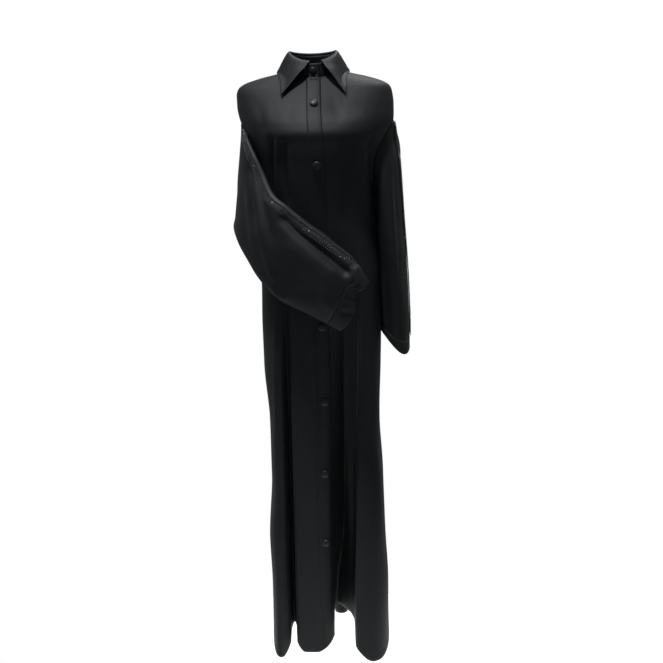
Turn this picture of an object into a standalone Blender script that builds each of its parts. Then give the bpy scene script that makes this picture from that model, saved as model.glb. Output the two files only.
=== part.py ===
import math

import bmesh
import bpy
from mathutils import Vector

# A long black button-front abaya, worn and hollow, one arm bent across the waist.
# Metres. Z is up, the front faces -Y, and the wearer's right side is at -X.
# The origin is on the middle plane, level with the high shoulder points.

# Cloth and joins
CLOTH = 0.0012
SEAM_GAP = 0.0003
CENTRE_GAP = 0.0006
CUFF_GAP = 0.0005
LAYER_STEP = CLOTH + SEAM_GAP
BAND_STEP = CLOTH + 2 * SEAM_GAP

# Heights of the named lines
FRONT_NECK = -0.018
BACK_NECK = -0.006
SHOULDER_TIP = -0.1213
SHOULDER_FOOT = -0.145
UNDERARM = -0.31
HEM = -1.475

# Steps of the searches and of the lines that are measured along the cloth
ROW_SAMPLES = 180
SEARCH_STEPS = 24
PROBE = 0.002

# Neck loop and the collar on it
NECK_DIP = 1.5
NECK_HALF_WIDTH = 0.058
NECK_FRONT = 0.056
NECK_BACK = 0.062
STAND_INSET = 0.0013
STAND_LIFT = 0.0008
STAND_FRONT_HEIGHT = 0.031
STAND_BACK_HEIGHT = 0.037
STAND_LEAN = 0.003
STAND_RISE_END = 1.2
STAND_START = -9.0
STAND_END = 375.0
STAND_OVERLAP_TUCK = 0.0018
STAND_TUCK_FADE = 0.6
STAND_STEPS = 24
COLLAR_CLEAR = 0.0026

# Armhole, an oval seen from the side
ARMHOLE_MIDDLE = (SHOULDER_TIP + UNDERARM) / 2
ARMHOLE_HALF_HEIGHT = (SHOULDER_TIP - UNDERARM) / 2
ARMHOLE_FRONT = 0.078
ARMHOLE_BACK = 0.070
ARMHOLE_STEPS = 8

# Placket band and its buttons
BAND_HALF_WIDTH = 0.017
BUTTON_RADIUS = 0.010
STAND_BUTTON_RADIUS = 0.008
BUTTON_HEIGHT = 0.0052
BUTTON_STEPS = 16
FIRST_BUTTON = -0.075
BUTTON_PITCH = 0.190
SECOND_BUTTON = -0.211
LOWER_BUTTONS = 6

# Columns of cloth, counted from the middle out to the side
RIGHT_COLUMNS = 20
LEFT_COLUMNS = 22
BACK_COLUMNS = 15

# Sleeves
SLEEVE_COLUMNS = 2 * ARMHOLE_STEPS
RIGHT_SLEEVE_TURN = 2
RIGHT_SLEEVE_GAP = 0.012
LEFT_SLEEVE_GAP = 0.005
GAP_OPENS_OVER = 2.0
SLEEVE_ROW_POWER = 1.2
RIGHT_CUFF_SHARE = 0.45
LEFT_CUFF_SHARE = 0.25
TRIM_START = 0.06
TRIM_SHARE = 0.5
TRIM_STEP = 0.0019

# The body tube: half widths at the wearer's right and left, depths to the front and the back
SECTION_COLUMNS = ("height", "right", "left", "front", "back")
SECTIONS = (
    (0.000, 0.0580, 0.0580, 0.022, 0.040),
    (-0.003, 0.0680, 0.0680, 0.030, 0.053),
    (-0.009, 0.0860, 0.0860, 0.041, 0.066),
    (-0.018, 0.1250, 0.1250, 0.056, 0.077),
    (-0.031, 0.1650, 0.1650, 0.070, 0.088),
    (-0.041, 0.1780, 0.1800, 0.080, 0.094),
    (-0.055, 0.1830, 0.1855, 0.093, 0.100),
    (-0.082, 0.1826, 0.1885, 0.118, 0.109),
    (-0.105, 0.1790, 0.1885, 0.140, 0.114),
    (-0.121, 0.1743, 0.1870, 0.153, 0.117),
    (-0.145, 0.1660, 0.1780, 0.165, 0.120),
    (-0.175, 0.1580, 0.1660, 0.166, 0.121),
    (-0.210, 0.1520, 0.1560, 0.162, 0.120),
    (-0.260, 0.1480, 0.1500, 0.158, 0.118),
    (-0.310, 0.1460, 0.1470, 0.155, 0.115),
    (-0.400, 0.1420, 0.1480, 0.152, 0.112),
    (-0.500, 0.1405, 0.1500, 0.150, 0.113),
    (-0.600, 0.1425, 0.1510, 0.150, 0.117),
    (-0.700, 0.1424, 0.1480, 0.150, 0.120),
    (-0.850, 0.1330, 0.1440, 0.150, 0.124),
    (-1.000, 0.1330, 0.1510, 0.152, 0.128),
    (-1.170, 0.1445, 0.1550, 0.155, 0.132),
    (-1.300, 0.1430, 0.1600, 0.158, 0.136),
    (-1.475, 0.1455, 0.1600, 0.160, 0.140),
)

# How square the section is, as the share of the third harmonic
SQUARENESS = ((0.0, 0.0), (-0.31, 0.0), (-0.50, 0.07), (-1.475, 0.085))

# The button line wanders sideways a little as the cloth hangs
CENTRE_DRIFT = (
    (0.0, 0.0), (-0.08, 0.0), (-0.21, 0.004), (-0.59, 0.005),
    (-0.77, 0.0065), (-0.97, 0.002), (-1.17, 0.0), (-1.475, 0.0),
)

# Hanging folds: centre and half width where they start and at the hem, depth, hem rise, the share
# of the half width that is wall, and whether the walls stand sheer where the fold is deep
FOLD_COLUMNS = (
    "start", "centre_top", "centre_hem", "half_top", "half_hem", "depth", "rise", "wall", "sheer",
)
FRONT_FOLDS = (
    (-0.36, -0.080, -0.090, 0.018, 0.014, 0.075, 0.045, 0.9, 1),
    (-0.45, -0.030, -0.035, 0.095, 0.105, 0.065, 0.000, 0.5, 0),
    (-0.36, 0.060, 0.043, 0.048, 0.036, 0.150, 0.050, 0.5, 1),
)
BACK_FOLDS = (
    (-0.42, -0.085, -0.094, 0.024, 0.031, 0.034, 0.004, 1.0, 1),
    (-0.52, -0.024, -0.030, 0.024, 0.031, 0.045, 0.004, 1.0, 1),
    (-0.46, 0.030, 0.036, 0.026, 0.033, 0.038, 0.004, 1.0, 1),
    (-0.40, 0.086, 0.100, 0.022, 0.029, 0.032, 0.004, 1.0, 1),
)
FOLD_RAMP = 1.2
RISE_START = -1.10
RISE_SPREAD = 0.025
SIDE_RISE = 0.018
SIDE_RISE_FROM = 0.72

# Rows of cloth above the shoulder tip: height at the middle and at the shoulder seam
NECK_ROWS = (
    (0.0, 0.0), (0.14, -0.009), (0.28, -0.021), (0.44, -0.033), (0.62, -0.050), (0.82, -0.082),
)
LOWER_ROWS = (-0.365, -0.43, -0.52, -0.62, -0.74, -0.88, -1.02, -1.15, -1.27, -1.38, HEM)

# Collar leaf: angle round the neck at the fold, and the outer edge below it
LEAF_COLUMNS = ("turn", "x", "y", "z")
LEAF_EDGE = (
    (8.0, 0.0755, -0.0890, -0.0570),
    (32.0, 0.0770, -0.0620, -0.0420),
    (62.0, 0.0815, -0.0310, -0.0235),
    (90.0, 0.0865, 0.0020, -0.0060),
    (120.0, 0.0800, 0.0430, 0.0000),
    (150.0, 0.0510, 0.0780, 0.0020),
    (180.0, 0.0000, 0.0920, 0.0030),
)
LEAF_LEFT_START = 20.0
LEAF_STEPS = 24
LEAF_RISE = ((0.0, 0.0009), (0.0012, 0.0056))
LEAF_TURN = (0.0050, 0.0040, 0.05)
LEAF_FALL_START = 0.007
LEAF_FALL = (0.36, 0.68, 1.0)

# Right sleeve: its top line and its under line, and how far the cloth stands off the flat between
# them on the face that shows, on the face that is hidden, and ahead along the arm
SLEEVE_COLUMNS_NAMED = (
    "top_x", "top_y", "top_z", "under_x", "under_y", "under_z", "face", "hidden", "lead",
)
RIGHT_SLEEVE = (
    (-0.153, -0.080, -0.159, -0.160, 0.078, -0.290, 0.028, 0.004, 0.0),
    (-0.126, -0.120, -0.213, -0.172, 0.070, -0.335, 0.040, 0.004, 0.0),
    (-0.096, -0.158, -0.275, -0.179, 0.048, -0.365, 0.050, 0.004, 0.0),
    (-0.065, -0.178, -0.301, -0.190, 0.006, -0.378, 0.050, 0.004, 0.0),
    (-0.036, -0.187, -0.324, -0.180, -0.036, -0.403, 0.054, 0.004, 0.0),
    (-0.011, -0.192, -0.344, -0.159, -0.074, -0.441, 0.054, 0.004, 0.0),
    (0.020, -0.197, -0.366, -0.132, -0.110, -0.484, 0.052, 0.004, 0.0),
    (0.044, -0.201, -0.388, -0.085, -0.150, -0.524, 0.044, 0.006, 0.006),
    (0.065, -0.205, -0.405, -0.020, -0.182, -0.553, 0.038, 0.008, 0.012),
    (0.087, -0.208, -0.424, 0.047, -0.205, -0.587, 0.034, 0.012, 0.0),
)
RIGHT_SLEEVE_ROWS = 15

# Edge of the right cuff as it is seen from the front
MOUTH_EDGE = (
    (-0.424, 0.087), (-0.450, 0.105), (-0.475, 0.1175), (-0.484, 0.100), (-0.491, 0.0885),
    (-0.509, 0.0835), (-0.5235, 0.0845), (-0.547, 0.076), (-0.5725, 0.0615), (-0.587, 0.047),
)

# Left sleeve, which hangs straight
LEFT_SLEEVE = (
    (0.1960, 0.000, -0.160, 0.1555, 0.000, -0.335, 0.086, 0.076, 0.0),
    (0.2020, -0.004, -0.215, 0.1565, -0.004, -0.375, 0.090, 0.080, 0.0),
    (0.2080, -0.010, -0.320, 0.1570, -0.010, -0.440, 0.092, 0.080, 0.0),
    (0.2150, -0.016, -0.440, 0.1575, -0.016, -0.505, 0.092, 0.078, 0.0),
    (0.2195, -0.020, -0.550, 0.1580, -0.020, -0.560, 0.090, 0.078, 0.005),
    (0.2210, -0.020, -0.672, 0.1570, -0.020, -0.625, 0.090, 0.078, 0.014),
)
LEFT_SLEEVE_ROWS = 12

# Half outline of a covered button, as shares of its radius and of its height
BUTTON_OUTLINE = (
    (0.0, 1.0), (0.45, 0.94), (0.80, 0.68), (0.97, 0.34), (0.90, 0.04), (0.0, 0.0),
)
BUTTON_MERGE = 0.00005


def through(knots):
    # A curve through the knots that never swings past them
    at = [knot[0] for knot in knots]
    value = [knot[1] for knot in knots]
    if at[0] > at[-1]:
        at.reverse()
        value.reverse()
    slope = [(value[i + 1] - value[i]) / (at[i + 1] - at[i]) for i in range(len(at) - 1)]
    tangent = [slope[0]]
    for before, after in zip(slope, slope[1:]):
        same_way = before * after > 0
        tangent.append(2 * before * after / (before + after) if same_way else 0.0)
    tangent.append(slope[-1])

    def read(position):
        position = min(max(position, at[0]), at[-1])
        i = 0
        while i < len(at) - 2 and position > at[i + 1]:
            i += 1
        span = at[i + 1] - at[i]
        t = (position - at[i]) / span
        rise = t * t * (3 - 2 * t)
        bend = span * (tangent[i] * t * (1 - t) ** 2 - tangent[i + 1] * t * t * (1 - t))
        return value[i] + (value[i + 1] - value[i]) * rise + bend

    return read


def column(rows, names, name):
    place = names.index(name)
    return through([(row[0], row[place]) for row in rows])


section = {name: column(SECTIONS, SECTION_COLUMNS, name) for name in SECTION_COLUMNS[1:]}
half_width = {-1: section["right"], 1: section["left"]}
depth = {"front": section["front"], "back": section["back"]}
squareness = through(SQUARENESS)
centre_drift = through(CENTRE_DRIFT)


def smooth(t):
    t = min(max(t, 0.0), 1.0)
    return t * t * (3 - 2 * t)


def low_share(z):
    # How much of the hem's rise and fall reaches this height
    return smooth((RISE_START - z) / (RISE_START - HEM))


def wall_drop(inside, width, drop, sheer):
    # How far the cloth has dropped at a distance inside the edge of a fold. A deep sheer fold
    # turns over a round corner, falls straight in and turns round again at its bottom
    if inside <= 0:
        return 0.0
    if inside >= width:
        return drop
    soft = drop * smooth(inside / width)
    corner = width / 2
    share = sheer * smooth((drop - corner) / width)
    if share == 0:
        return soft
    if inside < corner:
        turned = corner - math.sqrt(corner ** 2 - inside ** 2)
    else:
        turned = drop - corner + math.sqrt(corner ** 2 - (width - inside) ** 2)
    return soft + (turned - soft) * share


def fold_at(row, x, z):
    # How deep one fold is at a place, and how far it lifts the hem
    fold = dict(zip(FOLD_COLUMNS, row))
    if z >= fold["start"]:
        return 0.0, 0.0
    t = (fold["start"] - z) / (fold["start"] - HEM)
    centre = fold["centre_top"] + (fold["centre_hem"] - fold["centre_top"]) * t
    half = fold["half_top"] + (fold["half_hem"] - fold["half_top"]) * t
    inside = half - abs(x - centre)
    width = half * fold["wall"]
    rise = fold["rise"] * smooth((inside + RISE_SPREAD) / (width + RISE_SPREAD)) * low_share(z)
    return wall_drop(inside, width, fold["depth"] * t ** FOLD_RAMP, fold["sheer"]), rise


def body_point(side, half, angle, z):
    # A point of the body tube, by its angle from the middle of the front or of the back
    wide = half_width[side](z)
    deep = depth[half](z)
    square = squareness(z)
    x = wide * (math.sin(angle) + square * math.sin(3 * angle)) / (1 - square)
    y = deep * (math.cos(angle) - square * math.cos(3 * angle)) / (1 - square)
    x = side * x
    if half == "front":
        x += centre_drift(z) * (1 - (x / wide) ** 2)
    inward = 0.0
    lift = SIDE_RISE * smooth((abs(x) / wide - SIDE_RISE_FROM) / (1 - SIDE_RISE_FROM)) * low_share(z)
    for row in FRONT_FOLDS if half == "front" else BACK_FOLDS:
        push, rise = fold_at(row, x, z)
        inward += push
        lift = max(lift, rise)
    y = y - inward
    return Vector((x, -y if half == "front" else y, z + lift))


def armhole_angle(half, z):
    # Where the armhole cuts the section at this height, as an angle from the middle
    turn = (z - ARMHOLE_MIDDLE) / ARMHOLE_HALF_HEIGHT
    if abs(turn) >= 1:
        return math.pi / 2
    reach = ARMHOLE_FRONT if half == "front" else ARMHOLE_BACK
    return math.acos(reach * math.sqrt(1 - turn * turn) / depth[half](z))


def panel_rows(half):
    # Each row is its height at the middle, its height at the edge, and the angle of its edge
    rows = []
    top = FRONT_NECK if half == "front" else BACK_NECK
    for share, edge in NECK_ROWS:
        rows.append((top + (SHOULDER_TIP - top) * share, edge, math.pi / 2))
    for step in range(ARMHOLE_STEPS + 1):
        z = ARMHOLE_MIDDLE + ARMHOLE_HALF_HEIGHT * math.cos(math.pi * step / ARMHOLE_STEPS)
        rows.append((z, z, armhole_angle(half, z)))
    for z in LOWER_ROWS:
        rows.append((z, z, math.pi / 2))
    return rows


def seam_row(side, half, row, places):
    # Points along one row of a panel, read at their distances along the cloth from the middle
    middle, edge, last_angle = row
    line = []
    for i in range(ROW_SAMPLES + 1):
        angle = last_angle * i / ROW_SAMPLES
        z = edge + (middle - edge) * abs(math.cos(angle)) ** NECK_DIP
        if middle != edge:
            reach = half_width[side](edge) * math.sin(angle) / half_width[side](z)
            angle = math.asin(min(1.0, reach))
        line.append(body_point(side, half, angle, z))
    length = [0.0]
    for before, after in zip(line, line[1:]):
        length.append(length[-1] + (after - before).length)
    points = []
    i = 0
    for target in places(length[-1]):
        while i < ROW_SAMPLES - 1 and length[i + 1] < target:
            i += 1
        t = (target - length[i]) / (length[i + 1] - length[i])
        points.append(line[i].lerp(line[i + 1], t))
    if last_angle == math.pi / 2:
        points[-1].y = (-1 if half == "front" else 1) * SEAM_GAP / 2
    return points


def front_places(columns):
    # The band's two columns at their real width, then even steps to the edge
    def places(total):
        near = [CENTRE_GAP / 2, BAND_HALF_WIDTH / 2, BAND_HALF_WIDTH]
        steps = columns - 2
        far = [BAND_HALF_WIDTH + (total - BAND_HALF_WIDTH) * i / steps for i in range(1, steps + 1)]
        return near + far

    return places


def back_places(total):
    return [total * i / BACK_COLUMNS for i in range(BACK_COLUMNS + 1)]


def section_reach(x, y, z):
    # How far out the body tube reaches at this height, in the direction of the point
    side = -1 if x < 0 else 1
    half = "front" if y < 0 else "back"
    wanted = math.atan2(abs(x), abs(y))
    low = 0.0
    high = math.pi / 2
    wide = half_width[side](z)
    deep = depth[half](z)
    square = squareness(z)
    for _ in range(SEARCH_STEPS):
        angle = (low + high) / 2
        across = wide * (math.sin(angle) + square * math.sin(3 * angle))
        out = deep * (math.cos(angle) - square * math.cos(3 * angle))
        if math.atan2(across, out) < wanted:
            low = angle
        else:
            high = angle
    return math.hypot(across, out) / (1 - square)


def clear_of_body(point, gap):
    # Moves a point out until it is this far from the body tube
    reach = section_reach(point.x, point.y, point.z) + gap
    away = math.hypot(point.x, point.y)
    if away >= reach:
        return point
    return Vector((point.x * reach / away, point.y * reach / away, point.z))


def shoulder_height(x, y):
    # The height of the shoulder and chest surface under or over a place
    low = SHOULDER_FOOT
    high = 0.0
    for _ in range(SEARCH_STEPS):
        z = (low + high) / 2
        if section_reach(x, y, z) > math.hypot(x, y):
            low = z
        else:
            high = z
    return low


def spline(points, t):
    # A smooth curve through evenly numbered points
    last = len(points) - 1
    i = min(int(t), last - 1)
    t -= i
    p1 = points[i]
    p2 = points[i + 1]
    p0 = points[i - 1] if i > 0 else p1 + (p1 - p2)
    p3 = points[i + 2] if i + 2 <= last else p2 + (p2 - p1)
    bend = (p0 * 2 - p1 * 5 + p2 * 4 - p3) * (t * t) + (p1 * 3 - p0 - p2 * 3 + p3) * (t * t * t)
    return (p1 * 2 + (p2 - p0) * t + bend) / 2


def out_normals(rows, closed, centre_of):
    # The outward direction at each point of a grid
    normals = []
    for r, row in enumerate(rows):
        line = []
        for c, point in enumerate(row):
            before = row[c - 1] if closed or c > 0 else point
            after = row[(c + 1) % len(row)] if closed or c < len(row) - 1 else point
            along = rows[min(r + 1, len(rows) - 1)][c] - rows[max(r - 1, 0)][c]
            normal = (after - before).cross(along).normalized()
            if normal.dot(point - centre_of(r)) < 0:
                normal.negate()
            line.append(normal)
        normals.append(line)
    return normals


# Materials

def cloth_material(name, colour, roughness):
    material = bpy.data.materials.new(name)
    material.use_nodes = True
    shader = material.node_tree.nodes["Principled BSDF"]
    shader.inputs["Base Color"].default_value = (*colour, 1.0)
    shader.inputs["Roughness"].default_value = roughness
    shader.inputs["Metallic"].default_value = 0.0
    return material


def start_scene():
    for thing in list(bpy.data.objects):
        bpy.data.objects.remove(thing, do_unlink=True)
    collection = bpy.data.collections.new("abaya_cloak")
    bpy.context.scene.collection.children.link(collection)
    return collection


def add_sheet(collection, name, rows, closed, material):
    # A wall of cloth: an open surface through the rows, thickened by Solidify
    mesh = bpy.data.meshes.new(name)
    form = bmesh.new()
    grid = [[form.verts.new(point) for point in row] for row in rows]
    for upper, lower in zip(grid, grid[1:]):
        count = len(upper)
        for c in range(count if closed else count - 1):
            d = (c + 1) % count
            form.faces.new((upper[c], upper[d], lower[d], lower[c]))
    bmesh.ops.recalc_face_normals(form, faces=form.faces)
    form.to_mesh(mesh)
    form.free()
    mesh.materials.append(material)
    mesh.shade_smooth()
    thing = bpy.data.objects.new(name, mesh)
    collection.objects.link(thing)
    wall = thing.modifiers.new("wall", "SOLIDIFY")
    wall.thickness = CLOTH
    wall.offset = 0.0
    return thing


def add_button(collection, name, radius, place, normal, material):
    # A domed covered button, turned from its half outline and set on the cloth
    mesh = bpy.data.meshes.new(name)
    points = [(radius * out, 0.0, BUTTON_HEIGHT * up) for out, up in BUTTON_OUTLINE]
    mesh.from_pydata(points, [(i, i + 1) for i in range(len(points) - 1)], [])
    mesh.materials.append(material)
    thing = bpy.data.objects.new(name, mesh)
    collection.objects.link(thing)
    turn = thing.modifiers.new("turn", "SCREW")
    turn.steps = BUTTON_STEPS
    turn.render_steps = BUTTON_STEPS
    turn.use_merge_vertices = True
    turn.merge_threshold = BUTTON_MERGE
    thing.location = place + normal * SEAM_GAP
    thing.rotation_euler = normal.to_track_quat("Z", "Y").to_euler()


def panels(collection, material):
    fronts = {}
    for side, columns, name in ((-1, RIGHT_COLUMNS, "front_right"), (1, LEFT_COLUMNS, "front_left")):
        places = front_places(columns)
        rows = [seam_row(side, "front", row, places) for row in panel_rows("front")]
        add_sheet(collection, name, rows, False, material)
        fronts[side] = rows
    back = []
    for row in panel_rows("back"):
        right = seam_row(-1, "back", row, back_places)
        left = seam_row(1, "back", row, back_places)
        back.append(right[:0:-1] + left)
    add_sheet(collection, "back", back, False, material)
    return fronts


def placket(collection, fronts, material):
    # The band lies on both fronts, made from their middle columns moved out
    rows = []
    for right, left in zip(fronts[-1], fronts[1]):
        middle = (right[0] + left[0]) / 2
        rows.append([right[2], right[1], middle, left[1], left[2]])
    normals = out_normals(rows, False, lambda r: Vector((0.0, NECK_BACK, rows[r][2].z)))
    moved = []
    for row, line in zip(rows, normals):
        moved.append([point + normal * BAND_STEP for point, normal in zip(row, line)])
    add_sheet(collection, "placket", moved, False, material)
    return moved


def on_placket(rows, z):
    # The place on the band's middle line at a height, and the way its outer side faces
    for r in range(len(rows) - 1):
        upper = rows[r][2]
        lower = rows[r + 1][2]
        if upper.z >= z >= lower.z:
            t = (upper.z - z) / (upper.z - lower.z)
            slope = (upper - lower).normalized()
            normal = Vector((1.0, 0.0, 0.0)).cross(slope).normalized()
            return upper.lerp(lower, t) + normal * (CLOTH / 2), normal
    return rows[0][2], Vector((0.0, -1.0, 0.0))


def placket_buttons(collection, rows, material):
    heights = [FIRST_BUTTON, SECOND_BUTTON]
    heights += [SECOND_BUTTON - BUTTON_PITCH * step for step in range(1, LOWER_BUTTONS)]
    for number, z in enumerate(heights, start=1):
        place, normal = on_placket(rows, z)
        add_button(collection, f"button_{number}", BUTTON_RADIUS, place, normal, material)


def neck_point(turn):
    # A point of the neck loop, by its angle from the front middle, positive to the wearer's left
    forward = math.cos(turn)
    drop = FRONT_NECK if forward > 0 else BACK_NECK
    reach = NECK_FRONT if forward > 0 else NECK_BACK
    z = drop * abs(forward) ** NECK_DIP
    return Vector((NECK_HALF_WIDTH * math.sin(turn), -reach * forward, z))


def stand_height(turn):
    share = smooth((1 - math.cos(turn)) / STAND_RISE_END)
    return STAND_FRONT_HEIGHT + (STAND_BACK_HEIGHT - STAND_FRONT_HEIGHT) * share


def stand_point(turn, share, tuck):
    # A point of the stand: 0 at the neck seam, 1 at its top
    base = neck_point(turn)
    inward = Vector((-base.x, -base.y, 0.0)).normalized()
    height = STAND_LIFT + stand_height(turn) * share
    return base + inward * (STAND_INSET + tuck + STAND_LEAN * share) + Vector((0.0, 0.0, height))


def collar_stand(collection, material):
    # It starts tucked under at the wearer's left, runs round, and closes over itself in front
    start = math.radians(STAND_START)
    finish = math.radians(STAND_END)
    overlap = finish - math.tau - start
    rows = []
    for share in (0.0, 0.5, 1.0):
        row = []
        for step in range(STAND_STEPS + 1):
            turn = start + (finish - start) * step / STAND_STEPS
            tuck = STAND_OVERLAP_TUCK * (1 - smooth((turn - start - overlap) / STAND_TUCK_FADE))
            row.append(stand_point(turn, share, tuck))
        rows.append(row)
    add_sheet(collection, "collar_stand", rows, False, material)


leaf_lines = {name: column(LEAF_EDGE, LEAF_COLUMNS, name) for name in ("x", "y", "z")}


def leaf_edge(turn):
    # The outer edge of the leaf at an angle round the neck, mirrored at the back middle
    side = -1 if turn > math.pi else 1
    angle = math.degrees(min(turn, math.tau - turn))
    x = leaf_lines["x"](angle)
    return Vector((side * x, leaf_lines["y"](angle), leaf_lines["z"](angle)))


def collar_leaf(collection, material):
    # The leaf starts on the stand's top, rolls over it and falls to its pointed edge
    start = math.radians(LEAF_LEFT_START)
    finish = math.tau - math.radians(LEAF_EDGE[0][0])
    first = math.radians(LEAF_EDGE[0][0])
    lines = []
    for step in range(LEAF_STEPS + 1):
        share = step / LEAF_STEPS
        turn = start + (finish - start) * share
        edge_turn = first + (math.tau - 2 * first) * share
        top = stand_point(turn, 1.0, 0.0)
        edge = leaf_edge(edge_turn)
        outward = Vector((top.x, top.y, 0.0)).normalized()
        fall_start = top + outward * LEAF_FALL_START
        line = [top + outward * out + Vector((0.0, 0.0, up)) for out, up in LEAF_RISE]
        out, up, down = LEAF_TURN
        line.append((top + outward * out + Vector((0.0, 0.0, up))).lerp(edge, down))
        for down in LEAF_FALL:
            point = fall_start.lerp(edge, down)
            if down > LEAF_FALL[0]:
                point.z = max(point.z, shoulder_height(point.x, point.y) + COLLAR_CLEAR)
            line.append(point)
        lines.append(line)
    rows = [list(row) for row in zip(*lines)]
    add_sheet(collection, "collar", rows, False, material)


def armhole_loop(side, turn_columns):
    # The seam line of a sleeve, lying on the body's edge: column 0 is the sleeve's top line.
    # Columns run from the shoulder tip over the back on the right, and over the front on the left.
    points = []
    for c in range(SLEEVE_COLUMNS):
        psi = math.tau * (c - turn_columns) / SLEEVE_COLUMNS
        z = ARMHOLE_MIDDLE + ARMHOLE_HALF_HEIGHT * math.cos(psi)
        towards_back = math.sin(psi) * (1 if side < 0 else -1) > 0
        half = "back" if towards_back else "front"
        reach = (ARMHOLE_BACK if towards_back else ARMHOLE_FRONT) * abs(math.sin(psi))
        angle = math.acos(min(1.0, reach / depth[half](z)))
        point = body_point(side, half, angle, z)
        above = body_point(side, half, angle, z + PROBE)
        below = body_point(side, half, angle, z - PROBE)
        ahead = body_point(side, half, angle - PROBE / depth[half](z), z)
        normal = (above - below).cross(ahead - point).normalized()
        if normal.x * side < 0:
            normal.negate()
        points.append(point + normal * LAYER_STEP)
    return points


mouth_edge = through(MOUTH_EDGE)


def sleeve_rings(side, table, turn_columns):
    # One ring of points for each row of the table, after the armhole
    rings = [armhole_loop(side, turn_columns)]
    stations = [dict(zip(SLEEVE_COLUMNS_NAMED, row)) for row in table]
    tops = [Vector((s["top_x"], s["top_y"], s["top_z"])) for s in stations]
    unders = [Vector((s["under_x"], s["under_y"], s["under_z"])) for s in stations]
    centres = [(top + under) / 2 for top, under in zip(tops, unders)]
    for i, station in enumerate(stations):
        along = centres[min(i + 1, len(centres) - 1)] - centres[max(i - 1, 0)]
        along.normalize()
        half_chord = (tops[i] - unders[i]) / 2
        outward = along.cross(half_chord).normalized()
        if outward.y > 0 or (side < 0 and outward.x > 0.5):
            outward.negate()
        ring = []
        for c in range(SLEEVE_COLUMNS):
            phi = math.tau * c / SLEEVE_COLUMNS
            stand_off = station["face"] if math.sin(phi) > 0 else station["hidden"]
            point = centres[i] + half_chord * math.cos(phi)
            point += outward * (stand_off * math.sin(phi))
            upper_face = max(0.0, math.sin(phi)) ** 2 * (1 + math.cos(phi))
            point += along * (station["lead"] * upper_face)
            if side < 0 and i == len(centres) - 1 and math.sin(phi) > 0:
                point.x = mouth_edge(point.z)
            ring.append(point)
        rings.append(ring)
    return rings


def sleeve_point(side, rings, c, t):
    point = spline([ring[c] for ring in rings], t)
    if t == 0:
        return point
    gap = RIGHT_SLEEVE_GAP if side < 0 else LEFT_SLEEVE_GAP
    return clear_of_body(point, LAYER_STEP + (gap - LAYER_STEP) * smooth(t / GAP_OPENS_OVER))


def sleeve(collection, side, table, turn_columns, row_count, cuff_share, word, material, trim_material):
    rings = sleeve_rings(side, table, turn_columns)
    last = len(rings) - 1.0
    cuff_start = last - cuff_share
    rows = []
    for i in range(row_count + 1):
        t = cuff_start * (i / row_count) ** SLEEVE_ROW_POWER
        rows.append([sleeve_point(side, rings, c, t) for c in range(SLEEVE_COLUMNS)])
    cuff = []
    for t in (cuff_start, (cuff_start + last) / 2, last):
        cuff.append([sleeve_point(side, rings, c, t) for c in range(SLEEVE_COLUMNS)])
    rows[-1] = [
        point + (before - point).normalized() * CUFF_GAP for point, before in zip(rows[-1], rows[-2])
    ]
    add_sheet(collection, f"sleeve_{word}", rows, True, material)
    add_sheet(collection, f"cuff_{word}", cuff, True, material)

    # The trim lies on the sleeve beside its top line
    centres = [sum(row, Vector()) / len(row) for row in rows]
    normals = out_normals(rows, True, lambda r: centres[r])
    strip = []
    for row, line in list(zip(rows, normals))[1:]:
        points = []
        for share in (TRIM_START, (TRIM_START + TRIM_SHARE) / 2, TRIM_SHARE):
            normal = line[0].lerp(line[1], share).normalized()
            points.append(row[0].lerp(row[1], share) + normal * TRIM_STEP)
        strip.append(points)
    add_sheet(collection, f"trim_{word}", strip, False, trim_material)


def main():
    collection = start_scene()
    crepe = cloth_material("black_crepe", (0.012, 0.013, 0.014), 0.62)
    satin = cloth_material("black_satin_band", (0.015, 0.016, 0.017), 0.45)
    covered = cloth_material("covered_button", (0.014, 0.015, 0.016), 0.5)
    fronts = panels(collection, crepe)
    rows = placket(collection, fronts, crepe)
    placket_buttons(collection, rows, covered)
    collar_stand(collection, crepe)
    collar_leaf(collection, crepe)
    base = stand_point(0.0, 0.5, 0.0)
    forward = Vector((0.0, -1.0, 0.0))
    add_button(
        collection, "button_stand", STAND_BUTTON_RADIUS, base + forward * CLOTH, forward, covered,
    )
    sleeve(
        collection, -1, RIGHT_SLEEVE, RIGHT_SLEEVE_TURN, RIGHT_SLEEVE_ROWS, RIGHT_CUFF_SHARE,
        "right", crepe, satin,
    )
    sleeve(
        collection, 1, LEFT_SLEEVE, 0, LEFT_SLEEVE_ROWS, LEFT_CUFF_SHARE, "left", crepe, satin,
    )


main()
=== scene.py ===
import math

import bmesh
import bpy
import numpy as np
from mathutils import Matrix, Vector


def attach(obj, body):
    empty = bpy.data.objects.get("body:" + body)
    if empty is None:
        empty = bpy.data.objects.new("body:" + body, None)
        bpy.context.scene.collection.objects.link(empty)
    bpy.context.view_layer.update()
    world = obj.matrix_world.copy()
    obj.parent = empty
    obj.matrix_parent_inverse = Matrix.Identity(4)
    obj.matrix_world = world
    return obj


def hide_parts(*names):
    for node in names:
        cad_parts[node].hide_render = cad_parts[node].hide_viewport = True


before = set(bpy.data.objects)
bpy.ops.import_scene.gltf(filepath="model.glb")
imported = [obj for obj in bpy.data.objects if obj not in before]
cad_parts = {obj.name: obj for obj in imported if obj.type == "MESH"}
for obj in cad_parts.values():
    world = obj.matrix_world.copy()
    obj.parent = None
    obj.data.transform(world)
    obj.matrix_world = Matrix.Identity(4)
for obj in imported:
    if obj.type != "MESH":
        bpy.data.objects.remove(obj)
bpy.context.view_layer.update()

print("frame loaded")

# Metres where a table doesn't say millimetres. Z is up, the front faces -Y and the garment's
# right side is at -X.


# Small tools

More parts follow.
